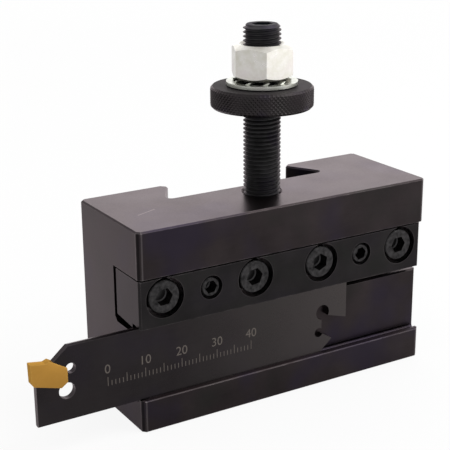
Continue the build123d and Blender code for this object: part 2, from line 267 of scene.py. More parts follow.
def zinc_plate(name, plate):
    """Bright plating with a faint yellow and violet cast in patches."""
    material, wire = new_material(name)
    place = object_place(wire)
    clouds = wire.noise(place, 520.0, 4.0, 0.6)
    cast = wire.noise(place, 260.0, 2.0, 0.5)
    scuffs = wire.noise(wire.stretched(place, (900.0, 900.0, 4200.0)), 1.0, 3.0, 0.6)
    yellow, violet, bright = (0.86, 0.86, 0.80), (0.98, 0.88, 1.0), (0.9, 0.9, 0.88)
    skin = wire.mix(clouds.steep(0.35, 0.65), colour(plate), tinted(plate, yellow))
    skin = wire.mix(cast.steep(0.5, 0.75) * 0.4, skin, tinted(plate, violet))
    skin = wire.mix(edge_wear(wire, 0.3 * MM) * 0.35, skin, colour(bright))
    values = {
        "Base Color": skin,
        "Metallic": 0.85,
        "Roughness": 0.32 + (scuffs - 0.5) * 0.16 + (clouds - 0.5) * 0.2,
        "Normal": bump(wire, scuffs, 0.2, 0.01 * MM),
    }
    finish_material(wire, wire.add("ShaderNodeBsdfPrincipled", None, values))
    return material


def gold_coating(name):
    """Golden nitride on ground carbide, paler along the edges."""
    material, wire = new_material(name)
    place = object_place(wire)
    finish = bpy.context.scene.holder_finishes
    clouds = wire.noise(place, 300.0, 3.0, 0.55)
    speck = wire.noise(place, 4000.0, 2.0, 0.6)
    edges = edge_wear(wire, 0.3 * MM)
    deeper, paler = (0.37, 0.19, 0.035), (0.62, 0.4, 0.12)
    skin = wire.mix(clouds, colour(finish.gold_colour), colour(deeper))
    skin = wire.mix(edges * 0.5, skin, colour(paler))
    values = {
        "Base Color": skin,
        "Metallic": 0.75,
        "Specular Tint": colour([0.8, 0.62, 0.3]),
        "Roughness": 0.45 + (speck - 0.5) * 0.12,
        "Normal": bump(wire, speck, 0.25, 0.004 * MM),
    }
    finish_material(wire, wire.add("ShaderNodeBsdfPrincipled", None, values))
    return material


def laser_mark(name):
    """Grey beige laser etching with a grainy edge."""
    material, wire = new_material(name)
    place = object_place(wire)
    finish = bpy.context.scene.holder_finishes
    grain = wire.noise(place, 5000.0, 2.0, 0.6)
    darker = (0.07, 0.058, 0.05)
    skin = wire.mix(grain, colour(finish.mark_colour), colour(darker))
    values = {"Base Color": skin, "Roughness": 0.6 + (grain - 0.5) * 0.2, "IOR": 1.4}
    finish_material(wire, wire.add("ShaderNodeBsdfPrincipled", None, values))
    return material


def coat(mesh, material):
    """Give a mesh one material."""
    mesh.materials.clear()
    mesh.materials.append(material)


def dress(node, material):
    """Give a packed node its material."""
    coat(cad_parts[node].data, material)


# Mesh helpers

def new_piece(name, mesh, body):
    """Put a finished mesh in the scene, riding on its body."""
    piece = bpy.data.objects.new(name, mesh)
    bpy.context.scene.collection.objects.link(piece)
    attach(piece, body)
    return piece


def built_by_nodes(name, build, inputs, material):
    """Run a geometry node tree with its named inputs set, and return the plain mesh."""
    tree = bpy.data.node_groups.new(name, "GeometryNodeTree")
    sockets = {}
    for label, value in inputs.items():
        kind = "NodeSocketInt" if isinstance(value, int) else "NodeSocketFloat"
        sockets[label] = tree.interface.new_socket(label, in_out="INPUT", socket_type=kind)
    tree.interface.new_socket("Geometry", in_out="OUTPUT", socket_type="NodeSocketGeometry")
    entry = tree.nodes.new("NodeGroupInput")
    wire = Wire(tree)
    geometry = build(wire, {label: Wire(tree, entry.outputs[label]) for label in inputs})
    geometry = wire.add("GeometryNodeRealizeInstances", None, {0: geometry})
    geometry = wire.add("GeometryNodeSetMaterial", None, {"Geometry": geometry, "Material": material})
    wire.add("NodeGroupOutput", None, {0: geometry})
    carrier = bpy.data.objects.new(name, bpy.data.meshes.new(name))
    bpy.context.scene.collection.objects.link(carrier)
    modifier = carrier.modifiers.new(name, "NODES")
    modifier.node_group = tree
    for label, value in inputs.items():
        modifier[sockets[label].identifier] = value
    depsgraph = bpy.context.evaluated_depsgraph_get()
    mesh = bpy.data.meshes.new_from_object(carrier.evaluated_get(depsgraph))
    coat(mesh, material)
    carrier.modifiers.clear()
    bpy.data.objects.remove(carrier)
    return mesh


def node_copy(node):
    """A copy of a packed node's mesh, and its shape with the doubled points joined."""
    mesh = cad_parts[node].data.copy()
    bm = bmesh.new()
    bm.from_mesh(mesh)
    bmesh.ops.remove_doubles(bm, verts=bm.verts, dist=SAME_POINT)
    return mesh, bm


def spun(bm, rings, count, turn):
    """Add rings of points round the stud's axis, joined by faces.

    A ring is its height and its radius, each a number or a rule of the angle.
    """
    made = []
    for height, radius in rings:
        ring = []
        for step in range(count):
            angle = turn + 2 * pi * step / count
            reach = radius(angle) if callable(radius) else radius
            level = height(angle) if callable(height) else height
            x, y = STUD_AXIS.x + reach * cos(angle), STUD_AXIS.y + reach * sin(angle)
            ring.append(bm.verts.new((x, y, level)))
        made.append(ring)
    for lower, upper in zip(made, made[1:]):
        for step in range(count):
            after = (step + 1) % count
            bm.faces.new((lower[step], lower[after], upper[after], upper[step]))


def hexagon(apothem, turn, angle):
    """How far a hexagon reaches at an angle, where its first corner is at turn."""
    return apothem / cos((angle - turn) % (pi / 3) - pi / 6)


def merged(bm, mesh, smooth_angle):
    """Join points that meet, point the faces outwards and write the mesh back."""
    bmesh.ops.remove_doubles(bm, verts=bm.verts, dist=SAME_POINT)
    bmesh.ops.dissolve_degenerate(bm, edges=bm.edges, dist=SAME_POINT / 2)
    bmesh.ops.recalc_face_normals(bm, faces=bm.faces)
    for face in bm.faces:
        face.smooth = True
    for edge in bm.edges:
        edge.smooth = len(edge.link_faces) == 2 and edge.calc_face_angle() < smooth_angle
    bm.to_mesh(mesh)
    bm.free()
    return mesh


def rolled(wire, sizes, sheet, radius, angle, height):
    """Roll a flat sheet round the stud's axis and join its two sides."""
    place = wire.add("ShaderNodeCombineXYZ", None, {
        0: sizes["Centre X"] + radius * wire.math("COSINE", angle),
        1: sizes["Centre Y"] + radius * wire.math("SINE", angle),
        2: height,
    })
    tube = wire.add("GeometryNodeSetPosition", None, {"Geometry": sheet, "Position": place})
    return wire.add("GeometryNodeMergeByDistance", None, {"Geometry": tube, "Distance": SAME_POINT / 2})


def thread_tree(wire, sizes):
    """A tube whose radius follows a screw thread, cut off by a chamfer at each end."""
    grid = {
        "Size X": 1.0,
        "Size Y": 1.0,
        "Vertices X": sizes["Around"] + 1,
        "Vertices Y": sizes["Turns"] * sizes["Steps"] + 1,
    }
    sheet = wire.add("GeometryNodeMeshGrid", None, grid)
    across, along, _ = wire.add("GeometryNodeInputPosition").axes()
    part_turn = across + 0.5
    pitches = (along + 0.5) * sizes["Turns"]
    height = sizes["Low"] + (pitches + part_turn - 1.0) * sizes["Pitch"]
    height = height.most(sizes["Low"]).least(sizes["High"])
    from_crest = abs((pitches + (HALF_FLAT + FLANK)) % 1.0 - 0.5)
    depth = ((from_crest - HALF_FLAT) / FLANK).limited() * sizes["Depth"]
    to_end = (height - sizes["Low"]).least(sizes["High"] - height)
    radius = (sizes["Radius"] - depth).least(to_end + sizes["End radius"])
    angle = part_turn * (2 * pi) + sizes["Start angle"]
    return rolled(wire, sizes, sheet, radius, angle, height)


def knurl_tree(wire, sizes):
    """A rim of diamond points between crossing grooves, cut off by a chamfer at each end."""
    halves = sizes["Diamonds"] * 2.0
    grid = {"Size X": 1.0, "Size Y": 1.0, "Vertices X": halves + 1, "Vertices Y": sizes["Rows"] + 1}
    sheet = wire.add("GeometryNodeMeshGrid", None, grid)
    across, along, _ = wire.add("GeometryNodeInputPosition").axes()
    step = wire.math("ROUND", (across + 0.5) * halves)
    row = wire.math("ROUND", (along + 0.5) * sizes["Rows"])
    groove = ((step + row) % 2.0).below(0.5)
    height = sizes["Low"] + (along + 0.5) * (sizes["High"] - sizes["Low"])
    to_end = (height - sizes["Low"]).least(sizes["High"] - height)
    radius = (sizes["Radius"] - groove * sizes["Depth"]).least(to_end + sizes["End radius"])
    rim = rolled(wire, sizes, sheet, radius, (across + 0.5) * (2 * pi), height)
    return wire.add("GeometryNodeTriangulate", {"quad_method": "SHORTEST_DIAGONAL"}, {0: rim})


def ticks_tree(wire, sizes):
    """A row of upright marks, each fifth one longer."""
    line = wire.add("GeometryNodeMeshLine", None, {
        "Count": sizes["Count"],
        "Start Location": wire.add("ShaderNodeCombineXYZ", None, {
            0: sizes["First X"], 1: sizes["Face Y"], 2: sizes["Base Z"],
        }),
        "Offset": wire.add("ShaderNodeCombineXYZ", None, {0: sizes["Spacing"]}),
    })
    number = wire.add("GeometryNodeInputIndex")
    fifth = (number % 5.0).below(0.5)
    stretch = 1.0 + fifth * (sizes["Long"] / sizes["Short"] - 1.0)
    mark = wire.add("GeometryNodeMeshCube", None, {"Size": wire.add("ShaderNodeCombineXYZ", None, {
        0: sizes["Width"], 1: sizes["Thickness"], 2: sizes["Short"],
    })})
    lift = wire.add("ShaderNodeCombineXYZ", None, {2: sizes["Short"] / 2.0})
    mark = wire.add("GeometryNodeTransform", None, {"Geometry": mark, "Translation": lift})
    size = wire.add("ShaderNodeCombineXYZ", None, {0: 1.0, 1: 1.0, 2: stretch})
    row = {"Points": line, "Instance": mark, "Scale": size}
    return wire.add("GeometryNodeInstanceOnPoints", None, row)


# Settings that a user may change

class StudSettings(bpy.types.PropertyGroup):
    """Thread of the height stud."""

    pitch: FloatProperty(
        name="Pitch", description="Distance between two turns of the thread",
        default=25.4 / 24 * MM, min=0.3 * MM, unit="LENGTH",
    )
    chamfer: FloatProperty(
        name="Chamfer", description="Size of the bevel at each end",
        default=0.9 * MM, min=0.1 * MM, unit="LENGTH",
    )
    socket_flats: FloatProperty(
        name="Socket flats", description="Width across the flats of the socket in the top end",
        default=4.7625 * MM, min=1 * MM, unit="LENGTH",
    )
    socket_depth: FloatProperty(
        name="Socket depth", description="Depth of the socket in the top end",
        default=5 * MM, min=1 * MM, unit="LENGTH",
    )
    socket_turn: FloatProperty(
        name="Socket turn", description="Angle of the socket's first corner",
        default=radians(20), unit="ROTATION",
    )


class NutSettings(bpy.types.PropertyGroup):
    """Knurl and faces of the height nut."""

    diamonds: IntProperty(
        name="Diamonds", description="Diamonds of the knurl round the rim", default=78, min=20, max=200,
    )
    rows: IntProperty(
        name="Rows", description="Half diamonds across the rim", default=10, min=4, max=40,
    )
    depth: FloatProperty(
        name="Knurl depth", description="Depth of the knurl's grooves",
        default=0.22 * MM, min=0.05 * MM, unit="LENGTH",
    )
    chamfer: FloatProperty(
        name="Chamfer", description="Size of the bevel on both rims",
        default=0.6 * MM, min=0.1 * MM, unit="LENGTH",
    )
    bore_chamfer: FloatProperty(
        name="Bore chamfer", description="Size of the bevel at the bore's ends",
        default=0.4 * MM, min=0.1 * MM, unit="LENGTH",
    )
    bore_gap: FloatProperty(
        name="Bore gap", description="Space between the nut's bore and the stud",
        default=0.05 * MM, min=0.01 * MM, unit="LENGTH",
    )


class LockNutSettings(bpy.types.PropertyGroup):
    """Crowned ends of the lock nut, and its seat on the washer."""

    turn: FloatProperty(
        name="Turn", description="Angle of the nut's first corner",
        default=radians(5.2), unit="ROTATION",
    )
    crown: FloatProperty(
        name="Crown", description="Radius from which the ends fall away to the corners",
        default=6.1 * MM, min=5.4 * MM, max=7 * MM, unit="LENGTH",
    )
    fall: FloatProperty(
        name="Fall", description="Slope of the ends towards the corners",
        default=radians(30), unit="ROTATION",
    )
    countersink: FloatProperty(
        name="Countersink", description="Size of the bevel at the bore's ends",
        default=0.9 * MM, min=0.1 * MM, unit="LENGTH",
    )
    bite: FloatProperty(
        name="Bite", description="How far the nut presses the washer's teeth down",
        default=0.65 * MM, min=0, max=1 * MM, unit="LENGTH",
    )
    settling: FloatProperty(
        name="Settling", description="How far the nut's top lies below the packed one's",
        default=0.25 * MM, min=0, max=1 * MM, unit="LENGTH",
    )


class ScaleSettings(bpy.types.PropertyGroup):
    """Etched scale on the blade, which shows how far it stands out."""

    marks: IntProperty(name="Marks", description="Number of marks of the scale", default=41, min=2)
    spacing: FloatProperty(
        name="Spacing", description="Distance between two marks",
        default=1 * MM, min=0.2 * MM, unit="LENGTH",
    )
    inset: FloatProperty(
        name="Inset", description="Distance from the blade's end to the first mark",
        default=18 * MM, unit="LENGTH",
    )
    base: FloatProperty(
        name="Base height", description="Height of the scale's foot above the blade's lower edge",
        default=6.2 * MM, unit="LENGTH",
    )
    figure: FloatProperty(
        name="Figure height", description="Height of the numbers", default=2.3 * MM, unit="LENGTH",
    )
    figure_lift: FloatProperty(
        name="Figure lift", description="Height of the numbers' foot above the scale's foot",
        default=3.3 * MM, unit="LENGTH",
    )
    short_mark: FloatProperty(
        name="Short mark", description="Height of a common mark",
        default=1.3 * MM, min=0.2 * MM, unit="LENGTH",
    )
    long_mark: FloatProperty(
        name="Long mark", description="Height of each fifth mark",
        default=2.3 * MM, min=0.2 * MM, unit="LENGTH",
    )
    mark_width: FloatProperty(
        name="Mark width", description="Width of a mark",
        default=0.18 * MM, min=0.05 * MM, unit="LENGTH",
    )


class FinishSettings(bpy.types.PropertyGroup):
    """Colours of the finishes."""

    oxide_dark: FloatVectorProperty(
        name="Oxide, dark", description="Darker tone of the blackened steel", subtype="COLOR",
        default=(0.0165, 0.0134, 0.0139), min=0, max=1,
    )
    oxide_light: FloatVectorProperty(
        name="Oxide, light", description="Lighter tone of the blackened steel", subtype="COLOR",
        default=(0.036, 0.0292, 0.0305), min=0, max=1,
    )
    oxide_sheen: FloatVectorProperty(
        name="Oxide, sheen", description="Tint of the light that the blackened steel mirrors",
        subtype="COLOR", default=(1.0, 0.925, 0.945), min=0, max=1,
    )
    violet_cast: FloatVectorProperty(
        name="Violet cast", description="Faint violet patches of the blackened steel", subtype="COLOR",
        default=(0.022, 0.0175, 0.031), min=0, max=1,
    )
    green_cast: FloatVectorProperty(
        name="Green cast", description="Faint green patches of the blackened steel", subtype="COLOR",
        default=(0.018, 0.019, 0.017), min=0, max=1,
    )
    # Also painted, at a share, as a highlight strip beside the block's front corner chamfers.
    worn_edge: FloatVectorProperty(
        name="Worn edge", description="Tone of the blackened steel where an edge is rubbed",
        subtype="COLOR", default=(0.13, 0.115, 0.118), min=0, max=1,
    )
    # Painted light on the blade towards its second end, where it is lit more.
    ground_colour: FloatVectorProperty(
        name="Ground steel", description="Tone of the blade where the grinding shows most",
        subtype="COLOR", default=(0.06, 0.053, 0.052), min=0, max=1,
    )
    plate_colour: FloatVectorProperty(
        name="Plating", description="Colour of the plated nut", subtype="COLOR",
        default=(0.655, 0.635, 0.605), min=0, max=1,
    )
    washer_colour: FloatVectorProperty(
        name="Washer", description="Colour of the plated washer", subtype="COLOR",
        default=(0.5, 0.51, 0.47), min=0, max=1,
    )
    gold_colour: FloatVectorProperty(
        name="Coating", description="Colour of the insert's coating", subtype="COLOR",
        default=(0.42, 0.22, 0.045), min=0, max=1,
    )
    mark_colour: FloatVectorProperty(
        name="Marks", description="Colour of the etched scale", subtype="COLOR",
        default=(0.10, 0.084, 0.072), min=0, max=1,
    )


class StageSettings(bpy.types.PropertyGroup):
    """Floor, lamps and camera."""

    floor_colour: FloatVectorProperty(
        name="Floor", description="Colour of the floor", subtype="COLOR",
        default=(0.9, 0.9, 0.9), min=0, max=1,
    )
    whitening: FloatProperty(
        name="Whitening", default=0.88, min=0, max=1,
        description="How far the floor is lifted to plain white, which leaves a faint shadow",
    )
    sky: FloatProperty(name="Sky", description="Strength of the even light", default=0.7, min=0)
    azimuth: FloatProperty(
        name="Azimuth", description="Camera's angle round the holder",
        default=radians(30.915), unit="ROTATION",
    )
    elevation: FloatProperty(
        name="Elevation", description="Camera's angle above the floor",
        default=radians(18.176), unit="ROTATION",
    )
    roll: FloatProperty(
        name="Roll", description="Camera's tilt", default=radians(-0.49), unit="ROTATION",
    )
    lens: FloatProperty(name="Lens", description="Focal length in millimetres", default=92.04, min=10)
    place: FloatVectorProperty(
        name="Place", description="Camera's place", subtype="TRANSLATION", unit="LENGTH",
        default=(-0.15432, -0.24128, 0.13552),
    )


# Operators, one for each piece or group of like pieces

class HOLDER_OT_block(bpy.types.Operator):
    """Give the block its blackened finish"""

    bl_idname = "holder.block"
    bl_label = "Finish the block"

    def execute(self, context):
        finish = context.scene.holder_finishes
        pale, shade, painted_corner_shade = (0.34, 0.31, 0.3), (0.002, 0.002, 0.002), (0.006, 0.0055, 0.006)
        scratch_x, scratch_y, scratch_slope = -33.7 * MM, -2.7 * MM, 0.4
        half_length, half_width = 2.9 * MM, 0.18 * MM
        bevel_reach, worn_and_lit_reach = 0.93 * MM, 1.3 * MM

        def touched(wire, place, values):
            """A pale scratch on the top, painted shade in the gap over the blade and on the front
            corner chamfers, and a worn strip beside each chamfer that is also a painted highlight.
            """
            x, y, z = place.axes()
            off_line = abs((x - scratch_x) * scratch_slope - (y - scratch_y))
            near = (1 - off_line / half_width).limited()
            inside = abs(x - scratch_x).below(half_length) * z.above(BLOCK_HIGH.z - 0.05 * MM)
            gap = y.above(BLADE_LOW.y + 0.2 * MM) * y.below(BLADE_HIGH.y + 1.6 * MM)
            gap = gap * z.above(BAR_LOW.z - 0.9 * MM) * z.below(BAR_LOW.z + 1.2 * MM)
            from_end, from_front = BLOCK_HIGH.x - abs(x), y - BLOCK_LOW.y
            reach, across = from_end + from_front, from_end - from_front
            worn_and_lit = reach.above(bevel_reach) * reach.below(worn_and_lit_reach)
            bevel = reach.below(bevel_reach) * across.above(-0.6 * MM) * across.below(0.25 * MM)
            paint(wire, values, near * inside * 0.6, pale)
            # Painted shade in the gap over the blade.
            paint(wire, values, gap, shade)
            # Worn strip beside each front corner chamfer, partly a painted highlight.
            paint(wire, values, worn_and_lit * 0.35, finish.worn_edge)
            # Painted shade on the front corner chamfers.
            paint(wire, values, bevel * 0.7, painted_corner_shade)
            values["Roughness"] = values["Roughness"].most(gap * 0.9)

        dress("holder_body", black_oxide(
            "blackened_block", (finish.oxide_dark, finish.oxide_light), grain=(260.0, 2400.0, 2400.0),
            shine=0.33, worn=0.8, blotch=70.0, extra=touched,
        ))
        return {"FINISHED"}


class HOLDER_OT_clamp(bpy.types.Operator):
    """Give the clamp bar its blackened finish"""

    bl_idname = "holder.clamp"
    bl_label = "Finish the clamp bar"

    def execute(self, context):
        painted_light_grey = (0.17, 0.164, 0.167)
        half_band = 5.2 * MM
        margin = 0.2 * MM

        def sunk(wire, place, values):
            """Painted light on the walls in the counterbores, which lifts their shade to a grey."""
            x, y, z = place.axes()
            deep = y.steep(BAR_LOW.y + 0.3 * MM, BAR_LOW.y + 0.9 * MM)
            bored = abs(z - SCREW_HEIGHT).below(half_band)
            bored = bored * x.above(BAR_LOW.x + margin) * x.below(BAR_HIGH.x - margin)
            # Painted light in the counterbores.
            paint(wire, values, deep * bored, painted_light_grey)

        dress("clamp_bar", black_oxide(
            "blackened_bar", BAR_TONES, grain=(240.0, 2600.0, 2600.0),
            shine=0.33, worn=0.5, blotch=110.0, extra=sunk, violet=0.1,
        ))
        return {"FINISHED"}


class HOLDER_OT_screws(bpy.types.Operator):
    """Give the clamp screws and the jack screws their mottled finish"""

    bl_idname = "holder.screws"
    bl_label = "Finish the screws"

    def execute(self, context):
        dark, light = SCREW_TONES
        painted_socket_shade = (0.04, 0.039, 0.04)
        for node in CLAMP_SCREWS + JACK_SCREWS:
            socket_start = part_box(node)[0].y + 0.35 * MM

            def mottled(wire, place, values):
                """Lighter mottled face, and a flat painted shade in the socket."""
                face = place.axes()[1].below(socket_start)
                patch = wire.noise(place, 900.0, 5.0, 0.75).steep(0.35, 0.65)
                pale = wire.mix(patch, colour(dark), colour(light))
                # Painted shade in the socket behind the face.
                values["Base Color"] = wire.mix(face, colour(painted_socket_shade), pale)

            dress(node, black_oxide(
                f"blackened_{node}", SCREW_TONES, grain=(900.0, 900.0, 900.0),
                shine=0.38, worn=0.4, blotch=300.0, extra=mottled, edge=0.2 * MM,
            ))
        return {"FINISHED"}


class HOLDER_OT_stud(bpy.types.Operator):
    """Build the threaded height stud with its hexagon socket"""

    bl_idname = "holder.stud"
    bl_label = "Build the height stud"

    def execute(self, context):
        stud = context.scene.holder_stud
        end_radius = STUD_RADIUS - stud.chamfer
        around = 72
        apothem = stud.socket_flats / 2
        floor = STUD_HIGH.z - stud.socket_depth
        dish = 0.3 * MM
        crest_low, crest_high = STUD_RADIUS - 0.22 * MM, STUD_RADIUS - 0.1 * MM
        crest_tone, painted_socket_shade = (0.02, 0.0195, 0.0205), (0.012, 0.015, 0.02)

        def crests(wire, place, values):
            """Smoother, darker crests on the thread, painted shade in the socket and a dull end."""
            x, y, z = place.axes()
            across = x - STUD_AXIS.x
            deep = y - STUD_AXIS.y
            reach = wire.math("SQRT", across * across + deep * deep)
            inside = reach.below(end_radius - 0.05 * MM) * z.below(STUD_HIGH.z - 0.2 * MM)
            crest = reach.steep(crest_low, crest_high) * z.below(STUD_HIGH.z - stud.chamfer)
            paint(wire, values, crest * 0.7, crest_tone)
            # Painted shade in the socket.
            paint(wire, values, inside, painted_socket_shade)
            return z.above(STUD_HIGH.z - 0.05 * MM) * 0.85

        def socket(angle):
            return hexagon(apothem, stud.socket_turn, angle)

        material = black_oxide(
            "blackened_stud", STUD_TONES, grain=(1500.0, 1500.0, 600.0),
            shine=0.52, worn=0.2, blotch=300.0, extra=crests, edge=0.12 * MM,
        )
        tube = built_by_nodes("stud_thread", thread_tree, {
            "Around": around, "Turns": int((STUD_HIGH.z - STUD_LOW.z) / stud.pitch) + 3,
            "Steps": STEPS_A_PITCH, "Low": STUD_LOW.z, "High": STUD_HIGH.z, "Pitch": stud.pitch,
            "Radius": STUD_RADIUS, "Depth": stud.pitch * FLANK * tan(radians(60)),
            "End radius": end_radius, "Start angle": stud.socket_turn,
            "Centre X": STUD_AXIS.x, "Centre Y": STUD_AXIS.y,
        }, material)
        bm = bmesh.new()
        bm.from_mesh(tube)
        top_end = [
            (STUD_HIGH.z, end_radius), (STUD_HIGH.z, socket), (floor, socket),
            (floor - dish / 2, apothem - dish), (floor - dish / 2, PIN_POINT),
        ]
        low_end = [(STUD_LOW.z, PIN_POINT), (STUD_LOW.z, end_radius)]
        for rings in (top_end, low_end):
            spun(bm, rings, around, stud.socket_turn)
        piece = new_piece("stud_threaded", merged(bm, tube, radians(25)), "holder")
        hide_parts("height_stud")
        return {"FINISHED"}


class HOLDER_OT_height_nut(bpy.types.Operator):
    """Build the knurled height nut"""

    bl_idname = "holder.height_nut"
    bl_label = "Build the height nut"

    def execute(self, context):
        nut = context.scene.holder_nut
        end_radius = NUT_RADIUS - nut.chamfer
        bore = STUD_RADIUS + nut.bore_gap
        mouth = bore + nut.bore_chamfer
        middle, half_height = (NUT_LOW.z + NUT_HIGH.z) / 2, (NUT_HIGH.z - NUT_LOW.z) / 2

        def turned(wire, place, values):
            """Duller turned faces above and below the knurl."""
            height = place.axes()[2]
            return abs(height - middle).above(half_height - 0.03 * MM) * 0.88

        material = black_oxide(
            "blackened_nut", NUT_TONES, grain=(900.0, 900.0, 900.0),
            shine=0.36, worn=0.3, blotch=160.0, extra=turned, edge=0.12 * MM,
        )
        rim = built_by_nodes("nut_knurl", knurl_tree, {
            "Diamonds": nut.diamonds, "Rows": nut.rows, "Radius": NUT_RADIUS, "Depth": nut.depth,
            "End radius": end_radius, "Low": NUT_LOW.z, "High": NUT_HIGH.z,
            "Centre X": STUD_AXIS.x, "Centre Y": STUD_AXIS.y,
        }, material)
        bm = bmesh.new()
        bm.from_mesh(rim)
        rings = [
            (NUT_HIGH.z, end_radius), (NUT_HIGH.z, mouth), (NUT_HIGH.z - nut.bore_chamfer, bore),
            (NUT_LOW.z + nut.bore_chamfer, bore), (NUT_LOW.z, mouth), (NUT_LOW.z, end_radius),
        ]
        spun(bm, rings, nut.diamonds * 2, 0.0)
        piece = new_piece("height_nut_knurled", merged(bm, rim, radians(20)), "nut")
        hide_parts("knurled_nut")
        return {"FINISHED"}


class HOLDER_OT_lock_nut(bpy.types.Operator):
    """Build the plated lock nut with its crowned ends"""

    bl_idname = "holder.lock_nut"
    bl_label = "Build the lock nut"

    def execute(self, context):
        nut = context.scene.holder_lock_nut
        apothem = (LOCK_HIGH.x - LOCK_LOW.x) / 2 / cos(nut.turn) * cos(pi / 6)
        low, high = LOCK_LOW.z - nut.bite, LOCK_HIGH.z - nut.settling
        bore = STUD_RADIUS + context.scene.holder_nut.bore_gap
        mouth = bore + nut.countersink
        around = 96

        def flank(angle):
            return hexagon(apothem, nut.turn, angle)

        def drop(angle):
            return (flank(angle) - nut.crown) * tan(nut.fall)

        bm = bmesh.new()
        rings = [
            (low, nut.crown), (lambda angle: low + drop(angle), flank),
            (lambda angle: high - drop(angle), flank), (high, nut.crown),
            (high, mouth), (high - nut.countersink, bore), (low + nut.countersink, bore), (low, mouth),
            (low, nut.crown),
        ]
        spun(bm, rings, around, nut.turn)
        mesh = merged(bm, bpy.data.meshes.new("lock_nut_crowned"), radians(15))
        coat(mesh, zinc_plate("zinc_plate", context.scene.holder_finishes.plate_colour))
        piece = new_piece("lock_nut_crowned", mesh, "locknut")
        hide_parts("lock_nut")
        return {"FINISHED"}


class HOLDER_OT_washer(bpy.types.Operator):
    """Build the plated lock washer with its teeth pressed down by the nut"""

    bl_idname = "holder.washer"
    bl_label = "Build the lock washer"

    def execute(self, context):
        under_nut = LOCK_LOW.z - context.scene.holder_lock_nut.bite - 0.02 * MM
        mesh, bm = node_copy("lock_washer")
        for vert in bm.verts:
            vert.co.z = min(vert.co.z, under_nut)
        mesh = merged(bm, mesh, radians(25))
        coat(mesh, zinc_plate("zinc_washer", context.scene.holder_finishes.washer_colour))
        piece = new_piece("lock_washer_pressed", mesh, "washer")
        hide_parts("lock_washer")
        return {"FINISHED"}


class HOLDER_OT_blade(bpy.types.Operator):
    """Give the parting blade its ground and blackened finish, with painted light towards its second end
    """

    bl_idname = "holder.blade"
    bl_label = "Finish the parting blade"

    def execute(self, context):
        finish = context.scene.holder_finishes
        lit_start = BLADE_LOW.x + 35 * MM

        def ground(wire, place, values):
            """Painted light towards the second end, where the blade is lit more."""
            along = place.axes()[0].steep(lit_start, BLADE_HIGH.x)
            # Painted light, growing towards the second end.
            paint(wire, values, along * 0.85, finish.ground_colour)

        dress("parting_blade", black_oxide(
            "blackened_blade", BLADE_TONES, grain=(200.0, 1500.0, 1500.0),
            shine=0.3, worn=0.6, blotch=60.0, extra=ground, edge=0.25 * MM, violet=0.3,
        ))
        return {"FINISHED"}


class HOLDER_OT_insert(bpy.types.Operator):
    """Build the coated insert with eased edges"""

    bl_idname = "holder.insert"
    bl_label = "Build the insert"

    def execute(self, context):
        mesh, bm = node_copy("cutting_insert")
        bmesh.ops.dissolve_limit(bm, angle_limit=radians(1), verts=bm.verts, edges=bm.edges)
        sharp = [edge for edge in bm.edges if edge.calc_face_angle() > radians(10)]
        bmesh.ops.bevel(
            bm, geom=sharp, offset=0.12 * MM, offset_type="OFFSET", segments=2, profile=0.5,
            affect="EDGES", clamp_overlap=True,
        )
        coat(mesh, gold_coating("gold_coating"))
        piece = new_piece("insert_coated", merged(bm, mesh, radians(35)), "blade")
        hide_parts("cutting_insert")
        return {"FINISHED"}


class HOLDER_OT_scale(bpy.types.Operator):
    """Etch a plain millimetre scale on the blade"""

    bl_idname = "holder.scale"
    bl_label = "Etch the scale"

    def execute(self, context):
        scale = context.scene.holder_scale
        face = BLADE_LOW.y
        skin = 0.012 * MM
        first = BLADE_LOW.x + scale.inset
        foot = BLADE_LOW.z + scale.base
        mesh = built_by_nodes("scale_marks", ticks_tree, {
            "Count": scale.marks, "First X": first, "Face Y": face, "Base Z": foot,
            "Spacing": scale.spacing, "Short": scale.short_mark, "Long": scale.long_mark,
            "Width": scale.mark_width, "Thickness": 2 * skin,
        }, laser_mark("laser_mark"))
        bm = bmesh.new()
        bm.from_mesh(mesh)
        for number in range(0, scale.marks, 10):
            place = (first + number * scale.spacing, face, foot + scale.figure_lift)
            self.add_figure(bm, str(number), place, scale.figure, skin)
        bm.to_mesh(mesh)
        bm.free()
        new_piece("blade_scale", mesh, "blade")
        return {"FINISHED"}

    @staticmethod
    def add_figure(bm, text, place, height, skin):
        """Add one number, upright on the blade's face and centred over its mark."""
        share_of_line = 0.7
        curve = bpy.data.curves.new("figure", "FONT")
        curve.body = text
        curve.size = height / share_of_line
        curve.align_x = "CENTER"
        curve.extrude = skin
        curve.resolution_u = 4
        letter = bpy.data.objects.new("figure", curve)
        bpy.context.scene.collection.objects.link(letter)
        depsgraph = bpy.context.evaluated_depsgraph_get()
        mesh = bpy.data.meshes.new_from_object(letter.evaluated_get(depsgraph))
        mesh.transform(Matrix.Translation(place) @ Matrix.Rotation(pi / 2, 4, "X"))
        bm.from_mesh(mesh)
        bpy.data.objects.remove(letter)
        bpy.data.curves.remove(curve)
        bpy.data.meshes.remove(mesh)


def seen_directly(wire, mirrored=1.0):
    """1 for what the camera shows, mirrored for a mirror or glass, and 0 for light on a surface."""
    rays = wire.add("ShaderNodeLightPath").socket.node
    names = ("Is Camera Ray", "Is Glossy Ray", "Is Transmission Ray")
    camera, glossy, transmission = (Wire(wire.tree, rays.outputs[name]) for name in names)
    return camera.most(glossy.most(transmission) * mirrored)


